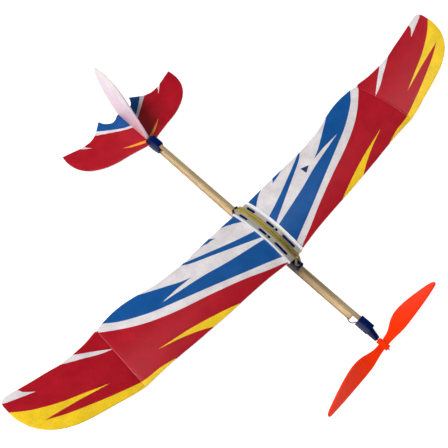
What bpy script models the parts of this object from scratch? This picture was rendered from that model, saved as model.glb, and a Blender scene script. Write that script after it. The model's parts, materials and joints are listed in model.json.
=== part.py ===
"""Rubber-powered toy glider: foam wing and tail, wooden stick fuselage, moulded brackets, propeller.

Units are metres, +Z up, nose towards -Y, pilot's left wing towards +X.
Stations are given along the stick (y) from the wing's leading edge datum and upwards (z) from the
stick's centre line; the airframe datum empty then sets the whole aircraft on its lowest point.
"""

import math

import bmesh
import bpy
from mathutils import Matrix, Vector

MM = 0.001
GAP = 0.3 * MM

# Where the design's station origin sits in the world.
DATUM_Y = -69.63 * MM
DATUM_Z = 30.84 * MM

# Stick fuselage and the rubber motor line below it.
STICK_WIDTH = 3.2 * MM
STICK_HEIGHT = 4.0 * MM
STICK_NOSE_Y = -88.0 * MM
STICK_TAIL_Y = 177.0 * MM
MOTOR_Z = -11.2 * MM

# Wing: foam sheet with a camber that fades towards the tips, an inner dihedral and a steeper tip.
WING_THICKNESS = 2.2 * MM
WING_MID_Y = 30.4 * MM
WING_MID_Z = 12.5 * MM
ROOT_CAMBER = 6.8 * MM
CREASE_CAMBER = 2.6 * MM
END_CAMBER = 1.2 * MM
END_X = 230.0 * MM
WING_HALF_CHORD = 30.4 * MM
WING_INCIDENCE = math.radians(5.7)
INNER_DIHEDRAL = math.radians(8.9)
TIP_DIHEDRAL = math.radians(24.9)
CREASE_X = 156.0 * MM
CREASE_GAP = 0.7 * MM
WING_CHORD_CUTS = 18
OUTLINE_STEPS = 4

# Half outlines in millimetres as (x, y). Each list is one smooth run; runs meet in corners.
WING_TRAILING_RUNS = (
    ((0.0, 58.7), (27.0, 57.9), (52.0, 56.6), (72.0, 55.5), (88.0, 56.1), (101.0, 57.3), (116.4, 61.2)),
    ((116.4, 61.2), (127.0, 63.0), (138.5, 63.4), (150.3, 62.0)),
    ((150.3, 62.0), (156.0, 59.8)),
)
WING_LEADING_RUN = (
    (156.0, 0.5), (137.0, 0.6), (125.0, 0.0), (107.0, -1.2), (91.0, -1.9),
    (74.0, -2.6), (52.0, -3.0), (31.0, -3.8), (12.4, -5.4), (0.0, -6.3),
)
TIP_RUNS = (
    ((156.0, 59.8), (158.0, 60.2)),
    ((158.0, 60.2), (167.5, 56.9), (178.7, 55.0), (189.0, 54.2)),
    ((189.0, 54.2), (199.0, 55.6), (208.0, 56.4), (218.0, 57.6)),
    ((218.0, 57.6), (223.5, 58.4), (227.2, 58.2), (229.3, 54.6), (228.8, 47.4)),
    (
        (228.8, 47.4), (228.1, 42.5), (226.5, 36.7), (223.8, 30.0), (220.5, 24.5), (216.0, 19.4),
        (210.9, 15.2), (203.1, 11.0), (194.7, 8.2), (185.5, 6.1), (175.7, 4.1), (165.8, 1.9), (156.0, 0.5),
    ),
)
STABILISER_RUNS = (
    (
        (0.0, 183.6), (8.0, 185.4), (16.0, 187.4), (27.0, 189.8), (38.0, 192.0), (48.0, 195.2),
        (58.0, 200.5), (66.0, 207.5), (71.0, 215.5), (73.3, 224.0), (73.8, 231.0), (73.0, 238.0),
    ),
    ((73.0, 238.0), (62.0, 234.7), (53.5, 232.0)),
    ((53.5, 232.0), (48.0, 231.2), (41.0, 231.2), (34.2, 233.4)),
    ((34.2, 233.4), (29.8, 236.5), (20.9, 243.6)),
    ((20.9, 243.6), (18.7, 238.2), (14.8, 233.9), (10.9, 232.0), (6.5, 233.0), (3.5, 234.9), (0.0, 235.8)),
)
# Fin side outline in millimetres as (y, z).
FIN_RUNS = (
    (
        (184.8, -12.3), (186.3, -5.0), (189.5, 2.5), (195.0, 13.0), (200.9, 24.0), (206.0, 34.0),
        (211.5, 42.5), (220.0, 49.0), (231.4, 52.4), (247.0, 50.0),
    ),
    ((247.0, 50.0), (249.6, 41.0), (249.0, 23.5), (245.2, 9.0), (242.4, 0.5), (238.8, -6.0), (238.0, -11.2)),
)
STABILISER_THICKNESS = 2.0 * MM
STABILISER_Z = -12.7 * MM
STABILISER_FRONT_Y = 185.0 * MM
STABILISER_INCIDENCE = math.radians(1.2)
STABILISER_CUTS = 3
FIN_THICKNESS = 2.0 * MM

# Wing mount: saddle below the foam, slotted clamp plate above it.
MOUNT_FRONT_Y = -4.4 * MM
MOUNT_REAR_Y = 57.4 * MM
MOUNT_CUTS = 12
FLANGE_HALF_WIDTH = 8.4 * MM
FLANGE_THICKNESS = 1.4 * MM
SADDLE_HALF_WIDTH = 3.2 * MM
SADDLE_BOTTOM_Z = -3.4 * MM
PLATE_FRONT_Y = -6.9 * MM
PLATE_REAR_Y = 58.9 * MM
PLATE_HALF_WIDTH = 8.9 * MM
PLATE_THICKNESS = 1.2 * MM
LIP_WIDTH = 1.3 * MM
LIP_HEIGHT = 1.4 * MM
SLOT_X = 4.6 * MM
SLOT_WIDTH = 2.3 * MM
SLOT_ROUND_CUTS = 6
SLOT_STATIONS = (
    (-0.8 * MM, 13.4 * MM),
    (18.6 * MM, 21.8 * MM),
    (22.9 * MM, 31.6 * MM),
    (45.0 * MM, 54.9 * MM),
)
TAB_RECESS = 0.35 * MM
FOOT_LENGTH = 9.0 * MM
FOOT_TOP_Z = 3.4 * MM
POST_SIZE = 1.8 * MM
POST_OVERLAP = 0.4 * MM
POST_HEAD_REACH = 3.4 * MM
POST_HEAD_HEIGHT = 1.2 * MM
FRONT_POST_Y = -9.4 * MM
REAR_POST_Y = 62.0 * MM
BAND_RADIUS = 0.85 * MM
BAND_HALF_GAUGE = 1.3 * MM
BAND_HOOK_Z = 4.9 * MM
BAND_NECK_HEIGHT = 3.0 * MM
BAND_TOP_POINTS = 17
BAND_TURN_CUTS = 6

# Nose bracket: sleeve on the stick above, shaft bearing below.
NOSE_REAR_Y = -77.0 * MM
NOSE_SLEEVE_FRONT_Y = -89.2 * MM
NOSE_TIP_Y = -98.3 * MM
NOSE_HALF_WIDTH = 2.8 * MM
NOSE_TIP_HALF_WIDTH = 2.1 * MM
NOSE_TOP_Z = 3.3 * MM
NOSE_BOTTOM_Z = -13.9 * MM
NOSE_BEARING_TOP_Z = -8.6 * MM
NOSE_SHOULDER_Z = -1.0 * MM

# Tail bracket: sleeve on the stick, peg for the rubber, slots for the stabiliser and the fin.
TAIL_HALF_WIDTH = 3.2 * MM
TAIL_PROFILE = (
    (166.4, 3.3), (178.4, 3.3), (186.4, -5.4), (188.6, -11.6), (197.0, -16.2), (197.0, -17.4),
    (181.0, -17.4), (175.0, -16.2), (169.6, -13.6), (168.0, -9.2),
)
PEG_Y = 171.6 * MM
PEG_RADIUS = 1.0 * MM
PEG_NOTCH_HALF_WIDTH = 2.5 * MM
PEG_NOTCH_REAR_Y = 175.2 * MM
PEG_NOTCH_TOP_Z = -7.6 * MM

# Rubber motor: a flat strand looped round the peg and the shaft's hook.
RUBBER_WIDTH = 4.4 * MM
RUBBER_THICKNESS = 1.3 * MM
RUBBER_SPLIT_Y = -64.0 * MM
RUBBER_SAG = 1.8 * MM
RUBBER_RUN_CUTS = 16
HOOK_CENTRE_Y = -72.4 * MM
HOOK_RADIUS = 3.7 * MM
LOOP_CENTRE_Y = -69.2 * MM
LOOP_RADIUS = 1.45 * MM
LOOP_TURN_CUTS = 8

# Shaft wire and propeller.
WIRE_RADIUS = 0.45 * MM
SHAFT_FRONT_Y = -109.9 * MM
SHAFT_BEND = 2.3 * MM
HOOK_CUTS = 22
HOOK_SWEEP = math.radians(300)
HUB_REAR_Y = -98.8 * MM
HUB_FRONT_Y = -109.1 * MM
HUB_RADIUS = 2.6 * MM
HUB_COLLAR_RADIUS = 3.3 * MM
HUB_COLLAR_REAR_Y = -101.4 * MM
HUB_COLLAR_FRONT_Y = -106.8 * MM
PROPELLER_Y = -104.3 * MM
PROPELLER_RADIUS = 74.8 * MM
PROPELLER_REST = math.radians(7.0)
SIDE_THRUST = math.radians(1.8)
BLADE_PITCH = 165.0 * MM
BLADE_ROOT_R = 1.2 * MM
BLADE_THICKNESS = 1.3 * MM
BLADE_SPAN_CUTS = 30
BLADE_CHORD_CUTS = 6
# Blade edges as (radius fraction, front chord, rear chord) in millimetres from the pitch line.
BLADE_STATIONS = (
    (0.00, 3.0, 3.0), (0.06, 3.3, 3.3), (0.12, 3.7, 3.8), (0.20, 4.6, 5.6), (0.30, 5.9, 9.2), (0.42, 6.7, 12.8),
    (0.55, 7.4, 15.0), (0.68, 7.9, 14.8), (0.80, 7.8, 12.4), (0.90, 7.1, 8.4), (0.96, 6.2, 4.4), (1.0, 4.0, 0.0),
)

COLOURS = {
    "wood": ((0.50, 0.33, 0.17, 1.0), 0.6, 0.0),
    "navy": ((0.01, 0.03, 0.12, 1.0), 0.35, 0.0),
    "foam_red": ((0.45, 0.02, 0.04, 1.0), 0.55, 0.0),
    "foam_blue": ((0.02, 0.10, 0.33, 1.0), 0.55, 0.0),
    "foam_white": ((0.80, 0.78, 0.80, 1.0), 0.6, 0.0),
    "milky": ((0.75, 0.77, 0.74, 1.0), 0.25, 0.0),
    "olive_rubber": ((0.50, 0.38, 0.09, 1.0), 0.5, 0.0),
    "latex": ((0.90, 0.62, 0.34, 1.0), 0.5, 0.0),
    "orange": ((1.00, 0.07, 0.01, 1.0), 0.35, 0.0),
    "steel": ((0.35, 0.35, 0.36, 1.0), 0.3, 1.0),
}


def clear_scene():
    for item in list(bpy.data.objects):
        bpy.data.objects.remove(item, do_unlink=True)


def new_collection(name):
    collection = bpy.data.collections.new(name)
    bpy.context.scene.collection.children.link(collection)
    return collection


def make_materials():
    made = {}
    for name, (colour, roughness, metallic) in COLOURS.items():
        material = bpy.data.materials.new(name)
        material.use_nodes = True
        shader = material.node_tree.nodes["Principled BSDF"]
        shader.inputs["Base Color"].default_value = colour
        shader.inputs["Roughness"].default_value = roughness
        shader.inputs["Metallic"].default_value = metallic
        material.diffuse_color = colour
        made[name] = material
    return made


clear_scene()
PARTS = new_collection("rubber_powered_glider")
CUTTERS = new_collection("cutters")
MATERIALS = make_materials()
DATUM = bpy.data.objects.new("airframe_datum", None)
DATUM.location = (0.0, DATUM_Y, DATUM_Z)
PARTS.objects.link(DATUM)


def place(obj, collection):
    for owner in list(obj.users_collection):
        owner.objects.unlink(obj)
    collection.objects.link(obj)


def finish_part(obj, name, material, parent=None, smooth=None):
    """Name a finished piece, give it its own material slot and hang it on the airframe."""
    place(obj, PARTS)
    obj.name = name
    obj.data.name = name
    obj.data.materials.clear()
    own = MATERIALS[material].copy()
    own.name = name + "_" + material
    obj.data.materials.append(own)
    obj.parent = DATUM if parent is None else parent
    if smooth is not None:
        for face in obj.data.polygons:
            face.use_smooth = True
        obj.data.set_sharp_from_angle(angle=math.radians(smooth))
    return obj


def mesh_object(name, bm):
    bmesh.ops.recalc_face_normals(bm, faces=bm.faces)
    mesh = bpy.data.meshes.new(name)
    bm.to_mesh(mesh)
    bm.free()
    obj = bpy.data.objects.new(name, mesh)
    bpy.context.scene.collection.objects.link(obj)
    return obj


def box(name, x0, x1, y0, y1, z0, z1):
    bm = bmesh.new()
    bmesh.ops.create_cube(bm, size=1.0)
    size = Matrix.Diagonal((x1 - x0, y1 - y0, z1 - z0, 1.0))
    centre = Matrix.Translation(((x0 + x1) / 2, (y0 + y1) / 2, (z0 + z1) / 2))
    bmesh.ops.transform(bm, matrix=centre @ size, verts=bm.verts)
    return mesh_object(name, bm)


def rod_along(name, axis, radius, start, end, across_a, across_b, segments=24):
    """A round rod along Y (axis "y", across x and z) or along X (axis "x", across y and z)."""
    bm = bmesh.new()
    bmesh.ops.create_cone(
        bm, cap_ends=True, segments=segments, radius1=radius, radius2=radius, depth=abs(end - start)
    )
    middle = (start + end) / 2
    if axis == "y":
        turn = Matrix.Rotation(math.pi / 2, 4, "X")
        move = Matrix.Translation((across_a, middle, across_b))
    else:
        turn = Matrix.Rotation(math.pi / 2, 4, "Y")
        move = Matrix.Translation((middle, across_a, across_b))
    bmesh.ops.transform(bm, matrix=move @ turn, verts=bm.verts)
    return mesh_object(name, bm)


def curve_to_mesh(obj, weld=0.00001):
    """Turn a curve object into a closed mesh object in the same place."""
    bpy.context.view_layer.update()
    evaluated = obj.evaluated_get(bpy.context.evaluated_depsgraph_get())
    mesh = bpy.data.meshes.new_from_object(evaluated)
    mesh.transform(obj.matrix_world)
    curve = obj.data
    name = obj.name
    bpy.data.objects.remove(obj, do_unlink=True)
    bpy.data.curves.remove(curve)
    bm = bmesh.new()
    bm.from_mesh(mesh)
    bpy.data.meshes.remove(mesh)
    bmesh.ops.remove_doubles(bm, verts=bm.verts, dist=weld)
    return mesh_object(name, bm)


def outline_solid(name, points, low, high, matrix=None):
    """A flat outline (x, y) as a solid from z low to z high, then moved by matrix."""
    curve = bpy.data.curves.new(name, "CURVE")
    curve.dimensions = "2D"
    curve.fill_mode = "BOTH"
    curve.extrude = (high - low) / 2
    spline = curve.splines.new("POLY")
    spline.points.add(len(points) - 1)
    for point, (x, y) in zip(spline.points, points):
        point.co = (x, y, 0.0, 1.0)
    spline.use_cyclic_u = True
    obj = bpy.data.objects.new(name, curve)
    bpy.context.scene.collection.objects.link(obj)
    lift = Matrix.Translation((0.0, 0.0, (low + high) / 2))
    obj.matrix_world = lift if matrix is None else matrix @ lift
    return curve_to_mesh(obj)


# Local (u, v, w) to world: u along the stick, v upwards, w to the pilot's left.
SIDE_VIEW = Matrix(((0.0, 0.0, 1.0, 0.0), (1.0, 0.0, 0.0, 0.0), (0.0, 1.0, 0.0, 0.0), (0.0, 0.0, 0.0, 1.0)))


def side_solid(name, profile, half_width):
    """A side profile (y, z) as a solid of the given half width."""
    return outline_solid(name, profile, -half_width, half_width, SIDE_VIEW)


def wire(name, points, radius, cyclic=False, resolution=2):
    curve = bpy.data.curves.new(name, "CURVE")
    curve.dimensions = "3D"
    curve.bevel_depth = radius
    curve.bevel_resolution = resolution
    curve.use_fill_caps = True
    spline = curve.splines.new("POLY")
    spline.points.add(len(points) - 1)
    for point, (x, y, z) in zip(spline.points, points):
        point.co = (x, y, z, 1.0)
    spline.use_cyclic_u = cyclic
    obj = bpy.data.objects.new(name, curve)
    bpy.context.scene.collection.objects.link(obj)
    return curve_to_mesh(obj)


def apply_modifiers(obj):
    bpy.context.view_layer.update()
    evaluated = obj.evaluated_get(bpy.context.evaluated_depsgraph_get())
    mesh = bpy.data.meshes.new_from_object(evaluated)
    old = obj.data
    obj.modifiers.clear()
    obj.data = mesh
    bpy.data.meshes.remove(old)


def combine(target, operation, tools):
    """Boolean each tool into the target and keep the tools as hidden cutters."""
    for tool in tools:
        modifier = target.modifiers.new(operation.lower(), "BOOLEAN")
        modifier.operation = operation
        modifier.solver = "EXACT"
        modifier.object = tool
        apply_modifiers(target)
        place(tool, CUTTERS)
        tool.name = target.name + "_" + tool.name
        tool.hide_render = True
        tool.display_type = "WIRE"
        tool.parent = DATUM
    return target


def bevel_edges(obj, width, angle, segments=2):
    modifier = obj.modifiers.new("bevel", "BEVEL")
    modifier.width = width
    modifier.segments = segments
    modifier.limit_method = "ANGLE"
    modifier.angle_limit = math.radians(angle)
    apply_modifiers(obj)


def smooth_run(run, steps):
    """Points on a smooth curve through the run, the last point left out."""
    points = [Vector(p) for p in run]
    first = points[0] * 2 - points[1]
    last = points[-1] * 2 - points[-2]
    padded = [first, *points, last]
    out = []
    for i in range(1, len(padded) - 2):
        p0, p1, p2, p3 = padded[i - 1], padded[i], padded[i + 1], padded[i + 2]
        for k in range(steps):
            t = k / steps
            curve = (
                p1 * 2
                + (p2 - p0) * t
                + (p0 * 2 - p1 * 5 + p2 * 4 - p3) * t**2
                + (p1 * 3 - p0 - p2 * 3 + p3) * t**3
            ) * 0.5
            out.append((curve.x * MM, curve.y * MM))
    return out


def joined_runs(runs, steps=OUTLINE_STEPS):
    out = []
    for run in runs:
        out.extend(smooth_run(run, steps))
    out.append((runs[-1][-1][0] * MM, runs[-1][-1][1] * MM))
    return out


def clipped(points, x_low, x_high):
    """Keep an outline's x between two stations, so neighbouring panels keep their gap."""
    return [(min(max(x, x_low), x_high), y) for x, y in points]


def mirrored(points):
    return [(-x, y) for x, y in reversed(points)]


def wing_camber(x):
    """Camber height at a span station, fading from root to crease and on to the tip."""
    inner = min(abs(x), CREASE_X) / CREASE_X
    outer = max(abs(x) - CREASE_X, 0.0) / (END_X - CREASE_X)
    return ROOT_CAMBER + (CREASE_CAMBER - ROOT_CAMBER) * inner + (END_CAMBER - CREASE_CAMBER) * outer


def wing_top(x, y):
    """Height of the wing's upper surface: camber, incidence, dihedral and steeper tip."""
    reach = abs(x)
    chordwise = (y - WING_MID_Y) / WING_HALF_CHORD
    camber = wing_camber(x) * (1.0 - chordwise**2)
    tilt = math.tan(WING_INCIDENCE) * (y - WING_MID_Y)
    inner = math.tan(INNER_DIHEDRAL) * min(reach, CREASE_X)
    outer = math.tan(TIP_DIHEDRAL) * max(reach - CREASE_X, 0.0)
    return WING_MID_Z + camber - tilt + inner + outer


def stabiliser_top(x, y):
    return STABILISER_Z + math.tan(STABILISER_INCIDENCE) * (y - STABILISER_FRONT_Y)


def draped(name, xs, y0, y1, cuts, top, bottom):
    """A block whose upper and lower faces follow two height functions of (x, y)."""
    bm = bmesh.new()
    bmesh.ops.create_grid(bm, x_segments=len(xs) - 1, y_segments=cuts, size=0.5)
    for vert in bm.verts:
        column = round((vert.co.x + 0.5) * (len(xs) - 1))
        vert.co.x = xs[column]
        vert.co.y = y0 + (y1 - y0) * (vert.co.y + 0.5)
    grown = bmesh.ops.extrude_face_region(bm, geom=list(bm.faces))
    lower = {item for item in grown["geom"] if isinstance(item, bmesh.types.BMVert)}
    for vert in bm.verts:
        surface = bottom if vert in lower else top
        vert.co.z = surface(vert.co.x, vert.co.y)
    return mesh_object(name, bm)


def slot_outline(x, y0, y1, width):
    """A slot along y with round ends."""
    radius = width / 2
    points = []
    for k in range(SLOT_ROUND_CUTS + 1):
        angle = math.pi * k / SLOT_ROUND_CUTS
        points.append((x + radius * math.cos(angle), y1 - radius + radius * math.sin(angle)))
    for k in range(SLOT_ROUND_CUTS + 1):
        angle = math.pi + math.pi * k / SLOT_ROUND_CUTS
        points.append((x + radius * math.cos(angle), y0 + radius + radius * math.sin(angle)))
    return points


def foam_panel(name, outline, material, x0, x1):
    """A cambered foam sheet cut to its plan outline."""
    margin = 1.0 * MM
    low = min(y for _, y in outline) - margin
    high = max(y for _, y in outline) + margin
    panel = draped(
        name, (x0, x1), low, high, WING_CHORD_CUTS, wing_top, lambda x, y: wing_top(x, y) - WING_THICKNESS
    )
    panel.name = name
    prism = outline_solid("outline", outline, -0.05, 0.15)
    combine(panel, "INTERSECT", [prism])
    return panel


def build_stick():
    stick = box(
        "stick", -STICK_WIDTH / 2, STICK_WIDTH / 2, STICK_NOSE_Y, STICK_TAIL_Y, -STICK_HEIGHT / 2, STICK_HEIGHT / 2
    )
    bevel_edges(stick, 0.25 * MM, 30, 1)
    finish_part(stick, "fuselage_stick", "wood")


def stick_pocket(y0, y1):
    return box(
        "stick_pocket",
        -STICK_WIDTH / 2 - GAP, STICK_WIDTH / 2 + GAP,
        y0, y1,
        -STICK_HEIGHT / 2 - GAP, STICK_HEIGHT / 2 + GAP,
    )


def thrust_turn():
    """Turn about the propeller's centre that gives its shaft line the side thrust."""
    centre = Vector((0.0, PROPELLER_Y, MOTOR_Z))
    return Matrix.Translation(centre) @ Matrix.Rotation(SIDE_THRUST, 4, "Z") @ Matrix.Translation(-centre)


def build_nose_bracket():
    sleeve_profile = (
        (NOSE_REAR_Y, NOSE_TOP_Z), (NOSE_REAR_Y, NOSE_BOTTOM_Z),
        (NOSE_SLEEVE_FRONT_Y, NOSE_BOTTOM_Z), (NOSE_SLEEVE_FRONT_Y, NOSE_TOP_Z),
    )
    snout_profile = (
        (NOSE_REAR_Y - GAP * 10, NOSE_SHOULDER_Z), (NOSE_REAR_Y - GAP * 10, NOSE_BOTTOM_Z + GAP),
        (NOSE_TIP_Y, NOSE_BOTTOM_Z + GAP), (NOSE_TIP_Y, NOSE_BEARING_TOP_Z),
        (NOSE_SLEEVE_FRONT_Y - GAP, NOSE_SHOULDER_Z),
    )
    bracket = side_solid("nose", sleeve_profile, NOSE_HALF_WIDTH)
    bevel_edges(bracket, 0.5 * MM, 30)
    snout = side_solid("snout", snout_profile, NOSE_TIP_HALF_WIDTH)
    bevel_edges(snout, 0.9 * MM, 20)
    combine(bracket, "UNION", [snout])
    pocket = stick_pocket(STICK_NOSE_Y - GAP, NOSE_REAR_Y + MM)
    bore = rod_along("bore", "y", WIRE_RADIUS + GAP, NOSE_TIP_Y - MM, NOSE_REAR_Y + MM, 0.0, MOTOR_Z)
    bore.data.transform(thrust_turn())
    combine(bracket, "DIFFERENCE", [pocket, bore])
    finish_part(bracket, "nose_bracket", "navy", smooth=35)


def build_tail_bracket():
    profile = [(y * MM, z * MM) for y, z in TAIL_PROFILE]
    bracket = side_solid("tail", profile, TAIL_HALF_WIDTH)
    bevel_edges(bracket, 0.4 * MM, 25)
    pocket = stick_pocket(min(y for y, _ in profile) - MM, STICK_TAIL_Y + GAP)
    rubber_notch = box(
        "rubber_notch", -PEG_NOTCH_HALF_WIDTH, PEG_NOTCH_HALF_WIDTH,
        min(y for y, _ in profile) - MM, PEG_NOTCH_REAR_Y,
        min(z for _, z in profile) - MM, PEG_NOTCH_TOP_Z,
    )
    wide = TAIL_HALF_WIDTH + MM
    rear = max(y for y, _ in profile) + MM
    front = STABILISER_FRONT_Y - 1.9 * MM
    stabiliser_slot = draped(
        "stabiliser_slot", (-wide, wide), front, rear, 1,
        lambda x, y: stabiliser_top(x, y) + GAP,
        lambda x, y: stabiliser_top(x, y) - STABILISER_THICKNESS - GAP,
    )
    half = FIN_THICKNESS / 2 + GAP
    fin_slot = box(
        "fin_slot", -half, half, STABILISER_FRONT_Y - 0.8 * MM, rear, STABILISER_Z - GAP, NOSE_TOP_Z + MM
    )
    combine(bracket, "DIFFERENCE", [pocket, rubber_notch, stabiliser_slot, fin_slot])
    reach = TAIL_HALF_WIDTH - 0.2 * MM
    peg = rod_along("peg", "x", PEG_RADIUS, -reach, reach, PEG_Y, MOTOR_Z)
    combine(bracket, "UNION", [peg])
    finish_part(bracket, "tail_bracket", "navy", smooth=35)


def build_tail():
    half = joined_runs(STABILISER_RUNS)
    outline = half + mirrored(half)[1:-1]
    reach = max(x for x, _ in half) + MM
    low = min(y for _, y in half) - MM
    high = max(y for _, y in half) + MM
    stabiliser = draped(
        "stabiliser", (-reach, 0.0, reach), low, high, STABILISER_CUTS,
        stabiliser_top, lambda x, y: stabiliser_top(x, y) - STABILISER_THICKNESS,
    )
    prism = outline_solid("outline", outline, -0.05, 0.05)
    combine(stabiliser, "INTERSECT", [prism])
    finish_part(stabiliser, "stabiliser", "foam_red")
    fin = side_solid("fin", joined_runs(FIN_RUNS), FIN_THICKNESS / 2)
    finish_part(fin, "fin", "foam_white")


def build_wing():
    leading = smooth_run(WING_LEADING_RUN, OUTLINE_STEPS) + [(0.0, WING_LEADING_RUN[-1][1] * MM)]
    trailing = joined_runs(WING_TRAILING_RUNS)
    inner = clipped(trailing + leading, GAP / 2, CREASE_X - CREASE_GAP / 2)
    tip = clipped(joined_runs(TIP_RUNS), CREASE_X + CREASE_GAP / 2, 1.0)
    tip_reach = max(x for x, _ in tip) + MM
    for side, sign in (("left", 1), ("right", -1)):
        inner_outline = inner if sign > 0 else mirrored(inner)
        tip_outline = tip if sign > 0 else mirrored(tip)
        panel_xs = sorted((0.0, sign * CREASE_X))
        tip_xs = sorted((sign * CREASE_X, sign * tip_reach))
        panel = foam_panel("panel_" + side, inner_outline, "foam_blue", *panel_xs)
        slots = [
            outline_solid("tab_slot", slot_outline(sign * SLOT_X, y0, y1, SLOT_WIDTH), -0.01, 0.04)
            for y0, y1 in SLOT_STATIONS
        ]
        combine(panel, "DIFFERENCE", slots)
        finish_part(panel, "wing_panel_" + side, "foam_blue")
        hinge = bpy.data.objects.new("wing_tip_" + side + "_crease", None)
        crease = sign * CREASE_X
        crease_z = wing_top(crease, WING_MID_Y) - CREASE_CAMBER / 2 - WING_THICKNESS / 2
        hinge.location = (crease, WING_MID_Y, crease_z)
        hinge.parent = DATUM
        PARTS.objects.link(hinge)
        tip_panel = foam_panel("tip_" + side, tip_outline, "foam_red", *tip_xs)
        tip_panel.data.transform(Matrix.Translation(-hinge.location))
        finish_part(tip_panel, "wing_tip_" + side, "foam_red", parent=hinge)


def saddle_top(x, y):
    return wing_top(x, y) - WING_THICKNESS - GAP


def plate_bottom(x, y):
    return wing_top(x, y) + GAP


def plate_top(x, y):
    return plate_bottom(x, y) + PLATE_THICKNESS


def build_saddle():
    flange_xs = (-FLANGE_HALF_WIDTH, 0.0, FLANGE_HALF_WIDTH)
    saddle = draped(
        "saddle", flange_xs, MOUNT_FRONT_Y, MOUNT_REAR_Y, MOUNT_CUTS,
        saddle_top, lambda x, y: saddle_top(x, y) - FLANGE_THICKNESS,
    )
    web_xs = (-SADDLE_HALF_WIDTH, 0.0, SADDLE_HALF_WIDTH)
    web = draped(
        "web", web_xs, MOUNT_FRONT_Y, MOUNT_REAR_Y, MOUNT_CUTS,
        lambda x, y: saddle_top(x, y) - FLANGE_THICKNESS / 2, lambda x, y: SADDLE_BOTTOM_Z,
    )
    tools = [web]
    tab_half = SLOT_WIDTH / 2 - GAP
    for sign in (-1, 1):
        for y0, y1 in SLOT_STATIONS:
            tab_xs = sorted((sign * (SLOT_X - tab_half), sign * (SLOT_X + tab_half)))
            tools.append(
                draped(
                    "tab", tab_xs, y0 + GAP * 2, y1 - GAP * 2, MOUNT_CUTS // 2,
                    lambda x, y: plate_top(x, y) - TAB_RECESS,
                    lambda x, y: saddle_top(x, y) - FLANGE_THICKNESS / 2,
                )
            )
    half = SADDLE_HALF_WIDTH
    tools.append(box(
        "front_foot", -half, half, MOUNT_FRONT_Y - FOOT_LENGTH, MOUNT_FRONT_Y + MM, SADDLE_BOTTOM_Z, FOOT_TOP_Z
    ))
    tools.append(box(
        "rear_foot", -half, half, MOUNT_REAR_Y - MM, MOUNT_REAR_Y + FOOT_LENGTH, SADDLE_BOTTOM_Z, FOOT_TOP_Z
    ))
    post_top = BAND_HOOK_Z + BAND_RADIUS + GAP
    for tag, y, outward in (("front", FRONT_POST_Y, -1), ("rear", REAR_POST_Y, 1)):
        size = POST_SIZE / 2
        tools.append(box(tag + "_post", -size, size, y - size, y + size, FOOT_TOP_Z - POST_OVERLAP, post_top + MM / 2))
        head_ys = sorted((y - outward * size, y + outward * POST_HEAD_REACH))
        tools.append(box(tag + "_head", -size, size, *head_ys, post_top, post_top + POST_HEAD_HEIGHT))
    combine(saddle, "UNION", tools)
    channel = stick_pocket(MOUNT_FRONT_Y - FOOT_LENGTH - MM, MOUNT_REAR_Y + FOOT_LENGTH + MM)
    combine(saddle, "DIFFERENCE", [channel])
    finish_part(saddle, "wing_saddle", "navy")


def build_plate():
    plate_xs = (-PLATE_HALF_WIDTH, 0.0, PLATE_HALF_WIDTH)
    plate = draped("plate", plate_xs, PLATE_FRONT_Y, PLATE_REAR_Y, MOUNT_CUTS, plate_top, plate_bottom)
    lips = []
    for sign in (-1, 1):
        lip_xs = sorted((sign * PLATE_HALF_WIDTH, sign * (PLATE_HALF_WIDTH - LIP_WIDTH)))
        lips.append(
            draped(
                "lip", lip_xs, PLATE_FRONT_Y, PLATE_REAR_Y, MOUNT_CUTS,
                lambda x, y: plate_top(x, y) + LIP_HEIGHT, plate_bottom,
            )
        )
    combine(plate, "UNION", lips)
    slots = [
        outline_solid("slot", slot_outline(sign * SLOT_X, y0, y1, SLOT_WIDTH), -0.01, 0.05)
        for sign in (-1, 1)
        for y0, y1 in SLOT_STATIONS
    ]
    combine(plate, "DIFFERENCE", slots)
    finish_part(plate, "wing_clamp_plate", "milky")


def build_band():
    """A rubber loop stretched over the plate and caught under both posts' heads."""
    lift = GAP + BAND_RADIUS
    turn = POST_SIZE / 2 + GAP + BAND_RADIUS
    over = []
    for k in range(BAND_TOP_POINTS):
        y = PLATE_FRONT_Y + (PLATE_REAR_Y - PLATE_FRONT_Y) * k / (BAND_TOP_POINTS - 1)
        over.append((y, plate_top(BAND_HALF_GAUGE + BAND_RADIUS, y) + lift))
    front_corner = [(PLATE_FRONT_Y - lift * 0.7, over[0][1] - lift * 0.3), (PLATE_FRONT_Y - lift, over[0][1] - lift)]
    rear_corner = [(PLATE_REAR_Y + lift * 0.7, over[-1][1] - lift * 0.3), (PLATE_REAR_Y + lift, over[-1][1] - lift)]
    strand = [*reversed(front_corner), *over, *rear_corner]
    neck_z = BAND_HOOK_Z + BAND_NECK_HEIGHT
    points = [(turn, FRONT_POST_Y, neck_z)]
    points.extend((BAND_HALF_GAUGE, y, z) for y, z in strand)
    points.append((turn, REAR_POST_Y, neck_z))
    for k in range(BAND_TURN_CUTS + 1):
        angle = math.pi * k / BAND_TURN_CUTS
        points.append((turn * math.cos(angle), REAR_POST_Y + turn * math.sin(angle), BAND_HOOK_Z))
    points.append((-turn, REAR_POST_Y, neck_z))
    points.extend((-BAND_HALF_GAUGE, y, z) for y, z in reversed(strand))
    points.append((-turn, FRONT_POST_Y, neck_z))
    for k in range(BAND_TURN_CUTS + 1):
        angle = math.pi + math.pi * k / BAND_TURN_CUTS
        points.append((turn * math.cos(angle), FRONT_POST_Y + turn * math.sin(angle), BAND_HOOK_Z))
    band = wire("band", points, BAND_RADIUS, cyclic=True, resolution=1)
    finish_part(band, "wing_retaining_band", "olive_rubber", smooth=60)


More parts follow.
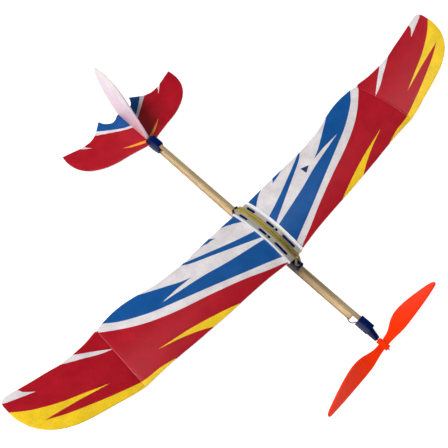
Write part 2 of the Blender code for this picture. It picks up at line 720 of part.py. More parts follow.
def hairpin(centre_y, radius, end_y, end_radius, sag):
    """Side outline of a flat strand that runs back from end_y, round a turn, and returns."""
    outward = 1 if centre_y > end_y else -1
    half = RUBBER_THICKNESS / 2
    loops = []
    for offset in (half, -half):
        out = []
        back = []
        for k in range(RUBBER_RUN_CUTS):
            t = k / RUBBER_RUN_CUTS
            y = end_y + (centre_y - end_y) * t
            hang = sag * 4 * t * (1 - t)
            spread = end_radius + (radius - end_radius) * t + offset
            out.append((y, MOTOR_Z - hang + spread))
            back.append((y, MOTOR_Z - hang - spread))
        turn = []
        for k in range(LOOP_TURN_CUTS + 1):
            angle = math.pi / 2 - math.pi * k / LOOP_TURN_CUTS
            reach = radius + offset
            turn.append((centre_y + outward * reach * math.cos(angle), MOTOR_Z + reach * math.sin(angle)))
        loops.append(out + turn + list(reversed(back)))
    return loops[0] + list(reversed(loops[1]))


def build_rubber():
    peg_turn = PEG_RADIUS + GAP + RUBBER_THICKNESS / 2
    long_run = hairpin(PEG_Y, peg_turn, RUBBER_SPLIT_Y + GAP / 2, LOOP_RADIUS, RUBBER_SAG)
    motor = side_solid("motor", long_run, RUBBER_WIDTH / 2)
    offset = math.tan(SIDE_THRUST) * (RUBBER_SPLIT_Y - PROPELLER_Y)
    for vert in motor.data.vertices:
        vert.co.x -= offset * max(0.0, PEG_Y - vert.co.y) / (PEG_Y - RUBBER_SPLIT_Y)
    finish_part(motor, "rubber_motor", "latex")
    axle = bpy.data.objects.new("propeller_axle", None)
    axle.location = (0.0, PROPELLER_Y, MOTOR_Z)
    axle.rotation_euler = (0.0, 0.0, SIDE_THRUST)
    axle.parent = DATUM
    PARTS.objects.link(axle)
    short_run = hairpin(LOOP_CENTRE_Y, LOOP_RADIUS, RUBBER_SPLIT_Y - GAP / 2, LOOP_RADIUS, 0.0)
    loop = side_solid("loop", short_run, RUBBER_WIDTH / 2)
    loop.data.transform(Matrix.Translation(-axle.location))
    finish_part(loop, "rubber_motor_front_loop", "latex", parent=axle)
    return axle


def build_shaft(axle):
    """Straight wire with a bent front end and a ring hook for the rubber."""
    points = [
        (0.0, SHAFT_FRONT_Y, MOTOR_Z - SHAFT_BEND),
        (0.0, SHAFT_FRONT_Y - WIRE_RADIUS * 0.3, MOTOR_Z - SHAFT_BEND * 0.4),
        (0.0, SHAFT_FRONT_Y, MOTOR_Z - WIRE_RADIUS * 0.8),
        (0.0, SHAFT_FRONT_Y + WIRE_RADIUS * 1.2, MOTOR_Z),
        (0.0, HOOK_CENTRE_Y - HOOK_RADIUS - WIRE_RADIUS * 2, MOTOR_Z),
    ]
    for k in range(HOOK_CUTS + 1):
        angle = -math.pi / 2 - HOOK_SWEEP * k / HOOK_CUTS
        if k > 0:
            points.append((HOOK_RADIUS * math.cos(angle), HOOK_CENTRE_Y + HOOK_RADIUS * math.sin(angle), MOTOR_Z))
    shaft = wire("shaft", points, WIRE_RADIUS)
    shaft.data.transform(Matrix.Translation(-axle.location))
    finish_part(shaft, "propeller_shaft", "steel", parent=axle, smooth=60)


def station_slope(i, side):
    low, high = BLADE_STATIONS[max(0, i - 1)], BLADE_STATIONS[i + 1]
    return (high[side] - low[side]) / (high[0] - low[0])


def blade_edges(fraction):
    """Front and rear chords: curves through the stations, with a rounded tip beyond the last but one."""
    last = len(BLADE_STATIONS) - 2
    i = max(k for k in range(last + 1) if BLADE_STATIONS[k][0] <= fraction)
    reach = BLADE_STATIONS[i + 1][0] - BLADE_STATIONS[i][0]
    t = (fraction - BLADE_STATIONS[i][0]) / reach
    chords = []
    for side in (1, 2):
        a, b = BLADE_STATIONS[i][side], BLADE_STATIONS[i + 1][side]
        if i == last:
            chord = a + (b - a) * (1 - math.sqrt(max(0.0, 1 - t * t)))
        else:
            start = station_slope(i, side) * reach
            end = station_slope(i + 1, side) * reach
            chord = a * (2 * t**3 - 3 * t**2 + 1) + b * (3 * t**2 - 2 * t**3)
            chord += start * (t**3 - 2 * t**2 + t) + end * (t**3 - t**2)
        chords.append(chord * MM)
    return chords


def build_blade(turn):
    """A twisted blade: a flat sheet pitched along its radius, then thickened."""
    bm = bmesh.new()
    bmesh.ops.create_grid(bm, x_segments=BLADE_SPAN_CUTS, y_segments=BLADE_CHORD_CUTS, size=0.5)
    for vert in bm.verts:
        fraction = vert.co.x + 0.5
        across = vert.co.y + 0.5
        radius = BLADE_ROOT_R + (PROPELLER_RADIUS - BLADE_ROOT_R) * fraction
        front, rear = blade_edges(fraction)
        chord = -front + (front + rear) * across
        pitch = math.atan2(BLADE_PITCH, 2 * math.pi * max(radius, PROPELLER_RADIUS * 0.22))
        vert.co = (radius, chord * math.sin(pitch), -chord * math.cos(pitch))
    blade = mesh_object("blade", bm)
    shell = blade.modifiers.new("shell", "SOLIDIFY")
    shell.thickness = BLADE_THICKNESS
    shell.offset = 0.0
    apply_modifiers(blade)
    blade.data.transform(Matrix.Rotation(turn + PROPELLER_REST, 4, "Y"))
    return blade


def build_propeller(axle):
    near = HUB_FRONT_Y - PROPELLER_Y
    far = HUB_REAR_Y - PROPELLER_Y
    hub = rod_along("hub", "y", HUB_RADIUS, near, far, 0.0, 0.0, 32)
    bevel_edges(hub, 0.4 * MM, 50)
    collar = rod_along(
        "collar", "y", HUB_COLLAR_RADIUS, HUB_COLLAR_FRONT_Y - PROPELLER_Y, HUB_COLLAR_REAR_Y - PROPELLER_Y,
        0.0, 0.0, 32,
    )
    bevel_edges(collar, 0.8 * MM, 50)
    combine(hub, "UNION", [collar, build_blade(0.0), build_blade(math.pi)])
    bore = rod_along("bore", "y", WIRE_RADIUS + GAP, near - MM, far + MM, 0.0, 0.0)
    combine(hub, "DIFFERENCE", [bore])
    finish_part(hub, "propeller", "orange", parent=axle, smooth=35)


def build_all():
    build_stick()
    build_nose_bracket()
    build_tail_bracket()
    build_tail()
    build_wing()
    build_saddle()
    build_plate()
    build_band()
    axle = build_rubber()
    build_shaft(axle)
    build_propeller(axle)


build_all()
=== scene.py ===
"""Looks of a rubber-powered foam toy glider: printed foam sheets, wood, moulded plastic, rubber and wire.

Everything is in metres in the CAD frame: +Z up, nose towards -Y, the pilot's left wing towards +X.
"""

import json
import math

import bmesh
import bpy
import numpy as np
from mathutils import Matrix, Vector
from mathutils.geometry import delaunay_2d_cdt


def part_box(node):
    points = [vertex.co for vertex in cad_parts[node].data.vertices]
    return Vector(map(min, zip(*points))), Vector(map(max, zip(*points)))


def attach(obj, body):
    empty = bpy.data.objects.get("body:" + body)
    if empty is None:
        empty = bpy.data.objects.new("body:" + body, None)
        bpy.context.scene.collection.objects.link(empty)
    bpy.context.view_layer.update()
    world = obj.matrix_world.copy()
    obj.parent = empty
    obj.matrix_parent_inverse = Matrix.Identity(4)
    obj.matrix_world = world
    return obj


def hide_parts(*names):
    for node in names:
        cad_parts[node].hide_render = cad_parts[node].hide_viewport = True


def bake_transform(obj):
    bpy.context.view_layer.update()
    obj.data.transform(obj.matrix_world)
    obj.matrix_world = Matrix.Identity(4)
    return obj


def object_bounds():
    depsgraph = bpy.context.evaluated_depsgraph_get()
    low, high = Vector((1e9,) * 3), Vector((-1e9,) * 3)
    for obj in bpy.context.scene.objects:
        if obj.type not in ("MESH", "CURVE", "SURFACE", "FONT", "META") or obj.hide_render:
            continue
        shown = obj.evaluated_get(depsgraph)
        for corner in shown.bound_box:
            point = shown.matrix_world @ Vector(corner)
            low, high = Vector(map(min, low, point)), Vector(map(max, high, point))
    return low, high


MM = 0.001

# Camera, from a pin-hole fit to the photo: place in metres, turn in degrees, lens in millimetres.
CAMERA_PLACE = (-0.12591, -0.15060, 0.44298)
CAMERA_TURN = (23.488, 3.522, -45.220)
CAMERA_LENS = 40.18
CAMERA_CLIP = 0.01

# Studio: a white backdrop, and lights as place, disk size and power.
BACKDROP_STRENGTH = 0.95
UNDER_LIGHT = ((0.2, -0.2, -1.2), 1.5, 8.0)
CANOPY_LIGHT = ((0.0, 0.0, 2.0), 4.0, 12.0)
KEY_LIGHT = ((-0.55, 0.3, 1.2), 0.5, 15.5)
FILL_LIGHT = ((0.9, -0.9, 0.7), 0.9, 1.2)
SHEEN_LIGHT = ((-0.1, 0.2, 1.2), 0.35, 1.8)
FLOOR_REACH = 6.0
FLOOR_GAP = 0.3 * MM
FLOOR_GLOW = 0.9
FLOOR_DARK = 0.38
FLOOR_LIGHT = 0.42

# The printed pattern is laid out in millimetres from the wing's leading edge datum, which sits here.
DATUM_Y = -69.63 * MM

# Foam sheets.
WING_FOAM = 2.2 * MM
TAIL_FOAM = 2.0 * MM
FOAM_EDGE_RADIUS = 0.45 * MM
FOAM_EDGE_STEPS = 3
FOAM_PITCH = 3.0 * MM
FOAM_ROW = 0.87
FOAM_CLEARANCE = 0.4
CURVE_PITCH = 1.2 * MM
CORNER = math.radians(28)
MITRE_LIMIT = 0.6
SHEET_WELD = 0.03 * MM
MERGE_DISTANCE = 1e-7

# Fold between a wing panel and its tip.
CREASE_HALF_WIDTH = 1.1 * MM
CREASE_DEPTH = 0.3 * MM
CREASE_FOAM = 0.9 * MM
CREASE_CUTS = 40
CREASE_YELLOW_TO = 5.0 * MM
CREASE_EDGE_WITHIN = 0.2 * MM

# Rubber motor: a flat strip looped from the tail peg to the shaft's hook.
STRIP_WIDTH = 4.4 * MM
STRIP_THICKNESS = 1.2 * MM
STRIP_PEG_RADIUS = 1.95 * MM
STRIP_HOOK_RADIUS = 1.45 * MM
STRIP_SAG = 1.6 * MM
STRIP_RIPPLE = 0.12 * MM
STRIP_RUN_CUTS = 150
STRIP_TURN_CUTS = 12
STRIP_RIPPLE_RATE = 38
STRIP_CORNER = ((1.0, 0.55), (0.93, 1.0))
STRIP_SHADED_SIDE_SHARE = 1.8

# Painted shadow of the wing on the stick and rubber ahead of it, by y: fades in, then out again under the
# wing.
DARK_FROM = -128 * MM
DARK_FULL = -88 * MM
DARK_KEPT = 20 * MM
DARK_GONE = 50 * MM

# Retaining band, and the CAD nodes that are used again with rounded edges.
BAND_SWELLING = 0.3 * MM
NODE_WELD = 0.001 * MM
FLAT_ANGLE = math.radians(0.6)
SHARP_ANGLE = math.radians(35)

# Printed shapes as runs of (x, y) millimetres; each run is smooth and runs meet in corners.
# The same shapes are printed on both wings, so x is the distance from the centre line.
WING_PRINT = (
    ("white", (
        (
            (0, -9), (11, -4), (26, 1), (47, 9), (74, 18), (100, 26),
            (121, 34.5), (137, 43.5), (154, 56), (158, 61),
        ),
        ((158, 61), (158, 80), (0, 80), (0, -9)),
    )),
    ("blue", (
        ((0, -3), (10, 1.5), (43, 13), (69, 22.5), (95, 32), (117, 40.5), (138, 52), (150, 62), (156, 68)),
        ((156, 68), (130, 72), (121, 66)),
        ((121, 66), (116, 61), (99, 51.5), (85, 44), (75, 40)),
        ((75, 40), (90, 41), (106, 40.5)),
        ((106, 40.5), (91, 38), (68, 34), (45, 28.5), (10, 22), (0, 20)),
    )),
    ("blue", (
        ((0, 20.5), (10, 25), (29, 33.2), (49, 42), (67, 50.3), (76, 57)),
        ((76, 57), (53, 48), (31, 39.8), (11, 33.5), (0, 31)),
    )),
    ("blue", (
        ((6, 46), (9, 48), (18, 54), (27, 58), (34, 61)),
        ((34, 61), (0, 66), (6, 46)),
    )),
    ("blue", (
        ((36, 53), (44, 54.5), (56, 57.5)),
        ((56, 57.5), (43, 60), (36, 53)),
    )),
    ("yellow", (
        ((59, -5), (63, -2.5), (82, 3.5), (103, 9), (121, 12.5), (132, 14.5)),
        ((132, 14.5), (116, 9.5), (102, 4), (91, -1.5), (84, -6)),
    )),
    ("yellow", (
        (
            (108, -3.5), (121, -1), (129, 1), (140, 3.5), (155, 5),
            (171, 9.5), (186, 14.5), (203, 21), (215, 27),
        ),
        ((215, 27), (207, 25.8), (195, 23.8), (183, 21.4), (172, 19)),
        ((172, 19), (181, 22.5), (189, 25.5), (201, 30), (213, 36), (221, 41), (232, 50)),
        ((232, 50), (240, 20), (180, -10), (108, -3.5)),
    )),
    ("white", (
        ((155, 38.5), (168, 47.5), (178, 54), (184, 60)),
        ((184, 60), (200, 60), (188, 53.5), (174, 46.5), (164, 41.5), (155, 38.5)),
    )),
    ("white", (
        ((210, 48), (216, 53.5), (220, 62)),
        ((220, 62), (240, 66), (229, 55.5), (224, 53), (217, 50.5), (210, 48)),
    )),
)
# A plain pointer on the pilot's left wing only.
WING_MARK = (((60.5, 36), (67.5, 39.5), (60.5, 43)),)
STABILISER_PRINT = (
    ("white", (
        ((0, 211.5), (8, 215.5), (20, 223.3), (34.8, 233.5), (38.5, 237)),
        ((38.5, 237), (20, 260), (0, 260), (0, 211.5)),
    )),
    ("blue", (
        ((0, 215), (8.5, 219), (20, 227.5), (30, 236), (34, 240)),
        ((34, 240), (20, 260), (0, 260), (0, 215)),
    )),
    ("amber", (
        ((2, 187.5), (5, 189), (15, 194), (25, 201)),
        ((25, 201), (14, 196), (4.5, 192), (0, 190)),
        ((0, 190), (2, 187.5)),
    )),
    ("white", (
        ((45.5, 223.5), (49, 226.5), (53, 230), (59, 237)),
        ((59, 237), (51, 237), (49.5, 229.5), (45.5, 223.5)),
    )),
)

FLAT = (0, 1, 2)
UPRIGHT = (1, 2, 0)


def linear(red, green, blue):
    """A colour given as 0-255 display values, in the renderer's linear units."""
    scaled = [channel / 255 for channel in (red, green, blue)]
    return tuple(c / 12.92 if c <= 0.04045 else ((c + 0.055) / 1.055) ** 2.4 for c in scaled) + (1.0,)


def add_camera():
    """The camera that sees the aircraft as the photo does."""
    data = bpy.data.cameras.new("camera")
    data.lens = CAMERA_LENS
    data.clip_start = CAMERA_CLIP
    camera = bpy.data.objects.new("camera", data)
    camera.location = CAMERA_PLACE
    camera.rotation_euler = [math.radians(angle) for angle in CAMERA_TURN]
    bpy.context.scene.collection.objects.link(camera)
    bpy.context.scene.camera = camera


def add_area_light(name, place, size, power):
    """A round area light aimed at the origin."""
    data = bpy.data.lights.new(name, "AREA")
    data.shape = "DISK"
    data.size = size
    data.energy = power
    light = bpy.data.objects.new(name, data)
    light.location = place
    light.rotation_euler = (-Vector(place)).to_track_quat("-Z", "Y").to_euler()
    bpy.context.scene.collection.objects.link(light)
    return light


def light_scene():
    """Key and fill for the shading, soft light from above and below, and a softbox for the sheen only."""
    scene = bpy.context.scene
    scene.view_settings.view_transform = "Standard"
    scene.world = bpy.data.worlds.new("studio")
    scene.world.use_nodes = True
    background = scene.world.node_tree.nodes["Background"]
    background.inputs["Color"].default_value = (1.0, 1.0, 1.0, 1.0)
    background.inputs["Strength"].default_value = BACKDROP_STRENGTH
    for ray in ("diffuse", "glossy", "transmission", "scatter"):
        setattr(scene.world.cycles_visibility, ray, False)
    add_area_light("under", *UNDER_LIGHT)
    canopy = add_area_light("canopy", *CANOPY_LIGHT)
    canopy.visible_glossy = False
    canopy.visible_camera = False
    add_area_light("key", *KEY_LIGHT).visible_glossy = False
    add_area_light("fill", *FILL_LIGHT).visible_glossy = False
    add_area_light("sheen", *SHEEN_LIGHT).visible_diffuse = False


def new_material(name, roughness, **settings):
    """A material whose shader has its roughness and other sockets set."""
    material = bpy.data.materials.new(name)
    material.use_nodes = True
    shader = material.node_tree.nodes["Principled BSDF"]
    shader.inputs["Roughness"].default_value = roughness
    for socket, value in settings.items():
        shader.inputs[socket.replace("_", " ")].default_value = value
    return material


def add_node(material, kind, inputs=None, **settings):
    """A shader node with its settings made and its inputs set or linked."""
    node = material.node_tree.nodes.new("ShaderNode" + kind)
    for name, value in settings.items():
        setattr(node, name, value)
    for socket, value in (inputs or {}).items():
        if isinstance(value, bpy.types.NodeSocket):
            material.node_tree.links.new(value, node.inputs[socket])
        else:
            node.inputs[socket].default_value = value
    return node


def place_on(material, stretch=(1.0, 1.0, 1.0)):
    """Texture coordinates in metres, fixed to the piece, scaled along each axis."""
    coords = add_node(material, "TexCoord")
    mapping = add_node(material, "Mapping", {"Vector": coords.outputs["Object"], "Scale": stretch})
    return mapping.outputs["Vector"]


def noise(material, vector, scale, detail=3.0):
    """A noise texture's value."""
    return add_node(
        material, "TexNoise", {"Vector": vector, "Scale": scale, "Detail": detail}
    ).outputs["Fac"]


def spread(material, value, low, high, to_low=0.0, to_high=1.0):
    """Map a narrow band of a texture's values onto another range."""
    return add_node(
        material, "MapRange",
        {"Value": value, "From Min": low, "From Max": high, "To Min": to_low, "To Max": to_high},
    ).outputs["Result"]


def mixed(material, factor, first, second):
    """Two colours, fixed or linked, mixed by a linked factor."""
    node = add_node(material, "Mix", data_type="RGBA")
    links = material.node_tree.links
    links.new(factor, node.inputs["Factor"])
    for socket, value in (("A", first), ("B", second)):
        colour_socket = [s for s in node.inputs if s.name == socket and s.type == "RGBA"][0]
        if isinstance(value, bpy.types.NodeSocket):
            links.new(value, colour_socket)
        else:
            colour_socket.default_value = value
    return [s for s in node.outputs if s.type == "RGBA"][0]


def finish_material(material, colour, height, bump_depth, bump_strength, gloss=None):
    """Send colour, bump height and roughness variation to the shader."""
    shader = material.node_tree.nodes["Principled BSDF"]
    links = material.node_tree.links
    links.new(colour, shader.inputs["Base Color"])
    bump = add_node(material, "Bump", {"Height": height, "Distance": bump_depth, "Strength": bump_strength})
    links.new(bump.outputs["Normal"], shader.inputs["Normal"])
    if gloss is not None:
        links.new(gloss, shader.inputs["Roughness"])
    return material


def shaded(colour, amount):
    """A colour made darker or lighter."""
    return tuple(channel * amount for channel in colour[:3]) + (1.0,)


def foam_material(name, ink, speck_strength=0.02):
    """Expanded-bead foam under a thin printed film: bead cells, mottled ink and pale specks."""
    material = new_material(name, 0.4, Specular_IOR_Level=0.38)
    place = place_on(material)
    beads = add_node(
        material, "TexVoronoi", {"Vector": place, "Scale": 620.0, "Randomness": 0.9}, feature="F1"
    ).outputs["Distance"]
    mottle = noise(material, place, 90.0, 5.0)
    grain = noise(material, place, 1500.0, 2.0)
    tone = mixed(material, spread(material, mottle, 0.35, 0.65), shaded(ink, 0.9), shaded(ink, 1.08))
    seams = spread(material, beads, 0.35, 0.75, 0.0, 0.22)
    tone = mixed(material, seams, tone, shaded(ink, 0.72))
    specks = spread(material, grain, 0.6, 0.72, 0.0, speck_strength)
    tone = mixed(material, specks, tone, (0.85, 0.82, 0.82, 1.0))
    relief = add_node(
        material, "Math", {0: spread(material, beads, 0.0, 0.8, 1.0, 0.0), 1: grain}, operation="MULTIPLY"
    ).outputs["Value"]
    gloss = spread(material, mottle, 0.3, 0.7, 0.34, 0.46)
    return finish_material(material, tone, relief, 0.15 * MM, 0.35, gloss)


def fin_material(name):
    """White foam with painted reflected light: pink low down from the red stabiliser, and cream higher up."""
    material = foam_material(name, linear(240, 222, 238), 0.1)
    shader = material.node_tree.nodes["Principled BSDF"]
    tone = shader.inputs["Base Color"].links[0].from_socket
    place = add_node(material, "SeparateXYZ", {"Vector": place_on(material)})
    # Painted reflection of the red stabiliser on the fin's lower part.
    low = spread(material, place.outputs["Z"], 0.03, 0.062, 0.75, 0.0)
    tone = mixed(material, low, tone, linear(250, 208, 220))
    # Painted reflected light, cream, on the fin's upper part.
    front = spread(material, place.outputs["Z"], 0.062, 0.088, 0.0, 0.8)
    tone = mixed(material, front, tone, linear(243, 236, 222))
    material.node_tree.links.new(tone, shader.inputs["Base Color"])
    return material


def wood_material(name):
    """Light softwood with long fibres, darker growth lines and open pores."""
    material = new_material(name, 0.62, Specular_IOR_Level=0.3)
    fibres = noise(material, place_on(material, (1.0, 0.02, 1.0)), 2600.0, 4.0)
    bands = noise(material, place_on(material, (1.0, 0.05, 1.0)), 420.0, 3.0)
    pores = noise(material, place_on(material, (1.0, 0.09, 1.0)), 3800.0, 1.0)
    tone = mixed(material, spread(material, fibres, 0.3, 0.7), linear(140, 120, 86), linear(190, 170, 132))
    tone = mixed(material, spread(material, bands, 0.5, 0.72, 0.0, 0.55), tone, linear(142, 112, 72))
    tone = mixed(material, spread(material, pores, 0.66, 0.74, 0.0, 0.6), tone, linear(96, 70, 42))
    # Painted shadow of the wing on the stick, ahead of the wing.
    tone = paint_wing_shadow(material, tone, linear(96, 74, 46))
    return finish_material(material, tone, fibres, 0.12 * MM, 0.5)


def moulded_material(name, colour, roughness, grain_scale, **settings):
    """Injection-moulded plastic: fine eggshell grain, slow flow marks and slightly uneven gloss."""
    material = new_material(name, roughness, **settings)
    place = place_on(material)
    flow = noise(material, place_on(material, (1.0, 0.35, 0.6)), 85.0, 4.0)
    grain = noise(material, place, grain_scale, 2.0)
    scuffs = noise(material, place_on(material, (0.25, 1.0, 1.0)), 900.0, 5.0)
    tone = mixed(material, spread(material, flow, 0.3, 0.7), shaded(colour, 0.88), shaded(colour, 1.1))
    pale = tuple(channel + 0.25 * (1.0 - channel) for channel in colour[:3]) + (1.0,)
    tone = mixed(material, spread(material, scuffs, 0.66, 0.78, 0.0, 0.3), tone, pale)
    gloss = spread(material, flow, 0.3, 0.7, roughness - 0.05, roughness + 0.09)
    return finish_material(material, tone, grain, 0.05 * MM, 0.25, gloss)


def plate_material(name):
    """Milky moulding that looks grey where it lies on the foam and bright along its raised lips."""
    material = moulded_material(
        name, linear(198, 194, 184), 0.3, 2000.0, Transmission_Weight=0.3, Subsurface_Weight=0.2,
        Subsurface_Scale=0.002,
    )
    shader = material.node_tree.nodes["Principled BSDF"]
    tone = shader.inputs["Base Color"].links[0].from_socket
    place = add_node(material, "SeparateXYZ", {"Vector": place_on(material)}).outputs["X"]
    across = add_node(material, "Math", {0: place}, operation="ABSOLUTE").outputs["Value"]
    half_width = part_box("wing_clamp_plate")[1].x
    lip = spread(material, across, half_width - 2.6 * MM, half_width - 1.4 * MM)
    tone = mixed(material, lip, tone, linear(246, 247, 252))
    material.node_tree.links.new(tone, shader.inputs["Base Color"])
    clearness = spread(material, lip, 0.0, 1.0, 0.3, 0.0)
    material.node_tree.links.new(clearness, shader.inputs["Transmission Weight"])
    return material


def paint_wing_shadow(material, tone, shadow_colour):
    """Paint in the dark stretch ahead of the wing, which may be the wing's shadow in the photo."""
    place = add_node(material, "SeparateXYZ", {"Vector": place_on(material)}).outputs["Y"]
    ahead = spread(material, place, DARK_FROM, DARK_FULL, 0.0, 0.7)
    behind = spread(material, place, DARK_FULL + DARK_KEPT, DARK_FULL + DARK_GONE, 1.0, 0.0)
    amount = add_node(material, "Math", {0: ahead, 1: behind}, operation="MULTIPLY").outputs["Value"]
    return mixed(material, amount, tone, shadow_colour)


def rubber_material(name, light, dark, stretch):
    """Natural rubber cut from sheet: long cut lines, dusty bloom and darker streaks."""
    material = new_material(name, 0.6, Subsurface_Weight=0.12, Subsurface_Scale=0.0015)
    lines = noise(material, place_on(material, stretch), 2200.0, 3.0)
    bloom = noise(material, place_on(material), 240.0, 4.0)
    tone = mixed(material, spread(material, lines, 0.35, 0.68), dark, light)
    tone = mixed(material, spread(material, bloom, 0.52, 0.75, 0.0, 0.35), tone, linear(244, 232, 208))
    # Painted shadow of the wing on the rubber, ahead of the wing.
    tone = paint_wing_shadow(material, tone, shaded(dark, 0.38))
    return finish_material(material, tone, lines, 0.08 * MM, 0.4)


def wire_material(name):
    """Dull drawn wire, dark enough to show against the white floor."""
    material = new_material(name, 0.45, Metallic=0.2, Specular_IOR_Level=0.1)
    draw = noise(material, place_on(material, (1.0, 0.02, 1.0)), 3000.0, 2.0)
    tone = mixed(material, spread(material, draw, 0.3, 0.7), linear(66, 60, 54), linear(104, 96, 88))
    return finish_material(material, tone, draw, 0.03 * MM, 0.3, spread(material, draw, 0.3, 0.7, 0.22, 0.38))


def make_materials():
    """Every material by its short name."""
    red = linear(178, 16, 34)
    along = (1.0, 0.01, 1.0)
    return {
        "red": foam_material("printed_red", red),
        "blue": foam_material("printed_blue", linear(16, 84, 154)),
        "white": foam_material("printed_white", linear(228, 222, 224), 0.1),
        "yellow": foam_material("printed_yellow", linear(250, 208, 26), 0.2),
        "amber": foam_material("printed_amber", linear(246, 164, 40), 0.2),
        "mark": foam_material("printed_mark", linear(20, 40, 96), 0.2),
        "foam": foam_material("bare_foam", linear(236, 230, 230), 0.1),
        "fin": fin_material("fin_foam"),
        # The crease strips' lighter red and yellow are a painted highlight along the fold.
        "crease": foam_material("crease_highlight_red", linear(196, 58, 72), 0.2),
        "crease_yellow": foam_material("crease_highlight_yellow", linear(246, 214, 70), 0.2),
        "wood": wood_material("stick_wood"),
        "navy": moulded_material("navy_plastic", linear(0, 22, 78), 0.5, 2600.0, Specular_IOR_Level=0.06),
        # The orange plastic's emission is painted light that brightens the propeller, which is no lamp.
        "orange": moulded_material(
            "orange_plastic", linear(250, 48, 6), 0.5, 2200.0, Specular_IOR_Level=0.03,
            Emission_Color=linear(255, 64, 18), Emission_Strength=0.2,
        ),
        "milky": plate_material("milky_plastic"),
        "latex": rubber_material("latex_rubber", linear(244, 216, 170), linear(206, 172, 122), along),
        # Darker rubber for the strip's sides, painted shade.
        "latex_painted_shade": rubber_material("latex_painted_shade", linear(120, 86, 50), linear(84, 58, 32), along),
        "olive": rubber_material("band_rubber", linear(206, 182, 78), linear(166, 140, 44), (1.0, 0.02, 1.0)),
        "steel": wire_material("steel_wire"),
    }


def curve_between(a, b, start, end, steps):
    """Points from a up to, but without, b on the cubic with the given end tangents."""
    out = []
    for k in range(steps):
        t = k / steps
        out.append(
            a * (2 * t**3 - 3 * t**2 + 1) + start * (t**3 - 2 * t**2 + t)
            + b * (3 * t**2 - 2 * t**3) + end * (t**3 - t**2)
        )
    return out


def smooth_run(points, pitch):
    """Points about a pitch apart on a smooth curve through an open run of points."""
    pts = [Vector(p) for p in points]
    out = []
    for i in range(len(pts) - 1):
        a, b = pts[i], pts[i + 1]
        start = (b - (pts[i - 1] if i > 0 else a)) / (2 if i > 0 else 1)
        end = ((pts[i + 2] if i + 2 < len(pts) else b) - a) / (2 if i + 2 < len(pts) else 1)
        out.extend(curve_between(a, b, start, end, max(1, round((b - a).length / pitch))))
    return out + [pts[-1]]


def closed_shape(runs, side):
    """A printed shape's polygon in metres, on the side x is signed for."""
    points = []
    for run in runs:
        metres = [(side * x * MM, y * MM + DATUM_Y) for x, y in run]
        if len(run) > 3:
            points.extend(smooth_run(metres, CURVE_PITCH)[:-1])
        else:
            points.extend(Vector(p) for p in metres[:-1])
    points.append(Vector((side * runs[-1][-1][0] * MM, runs[-1][-1][1] * MM + DATUM_Y)))
    return points


def inside(points, polygon):
    """Which of an array of 2-D points lie inside a polygon."""
    points = np.asarray(points)
    result = np.zeros(len(points), bool)
    for a, b in zip(polygon, polygon[1:] + polygon[:1]):
        crosses = (a[1] > points[:, 1]) != (b[1] > points[:, 1])
        run = (b[0] - a[0]) * (points[:, 1] - a[1]) / ((b[1] - a[1]) or 1e-12) + a[0]
        result ^= crosses & (points[:, 0] < run)
    return result


def distance_to(points, polylines):
    """Each point's distance to the nearest of some polylines."""
    points = np.asarray(points)
    nearest = np.full(len(points), np.inf)
    for line in polylines:
        for a, b in zip(line, line[1:]):
            a, b = np.array(a), np.array(b)
            span = b - a
            t = np.clip((points - a) @ span / max(span @ span, 1e-18), 0, 1)
            nearest = np.minimum(nearest, np.linalg.norm(points - (a + t[:, None] * span), axis=1))
    return nearest


def anticlockwise(loop):
    """The loop, turned round if it runs clockwise."""
    area = sum(a.x * b.y - b.x * a.y for a, b in zip(loop, loop[1:] + loop[:1]))
    return loop if area > 0 else loop[::-1]


def outward(loop):
    """A mitred outward direction at each corner of an anticlockwise loop."""
    out = []
    for before, here, after in zip(loop[-1:] + loop[:-1], loop, loop[1:] + loop[:1]):
        first = (here - before).normalized()
        second = (after - here).normalized()
        normal = Vector((first.y + second.y, -first.x - second.x))
        if normal.length < 0.1:
            normal = Vector((first.y, -first.x))
        normal.normalize()
        out.append(normal / max(MITRE_LIMIT, normal.dot(Vector((first.y, -first.x)))))
    return out


def chained(edges):
    """Simple closed loops of vertices from directed edges."""
    following = {}
    for start, end in edges:
        following.setdefault(start, []).append(end)
    loops = []
    path = []
    while following:
        if not path or path[-1] not in following:
            path = [next(iter(following))]
        here = path[-1]
        after = following[here].pop()
        if not following[here]:
            del following[here]
        if after in path:
            first = path.index(after)
            loops.append(path[first:])
            path = path[:first + 1]
        else:
            path.append(after)
    return loops


def sheet_shape(node, axes):
    """A CAD sheet's outline and a smooth height function over its upper face."""
    u, v, w = axes
    bm = bmesh.new()
    bm.from_mesh(frame["nodes"][node].data)
    bmesh.ops.remove_doubles(bm, verts=bm.verts, dist=SHEET_WELD)
    bmesh.ops.dissolve_degenerate(bm, dist=SHEET_WELD, edges=bm.edges)
    upper = {face for face in bm.faces if face.normal[w] > 0.5}
    edges = []
    for face in upper:
        for loop in face.loops:
            if sum(other in upper for other in loop.edge.link_faces) == 1:
                edges.append((loop.vert, loop.link_loop_next.vert))
    loops = [[Vector((vert.co[u], vert.co[v])) for vert in loop] for loop in chained(edges)]
    outline = max(loops, key=lambda loop: max(p.y for p in loop) - min(p.y for p in loop))
    corners = np.array([vert.co for vert in {vert for face in upper for vert in face.verts}])
    bm.free()

    def terms(x, y):
        """The height function's terms, linear along x and quadratic along y."""
        return np.stack([np.ones_like(x), x, y, x * y, y * y, x * y * y], axis=-1)

    fit = np.linalg.lstsq(terms(corners[:, u], corners[:, v]), corners[:, w], rcond=None)[0]
    return smoothed(outline), lambda x, y: terms(np.asarray(x), np.asarray(y)) @ fit


def smoothed(loop):
    """A closed outline with extra points on a curve through it; sharp corners stay sharp."""
    tangents = []
    for before, here, after in zip(loop[-1:] + loop[:-1], loop, loop[1:] + loop[:1]):
        turn = (here - before).angle(after - here, 0.0)
        tangents.append((after - before) / 2 if turn < CORNER else None)
    out = []
    for i, a in enumerate(loop):
        b = loop[(i + 1) % len(loop)]
        start, end = tangents[i] or b - a, tangents[(i + 1) % len(loop)] or b - a
        length = (b - a).length
        start, end = start.normalized() * length, end.normalized() * length
        out.extend(curve_between(a, b, start, end, max(1, round(length / CURVE_PITCH))))
    return out


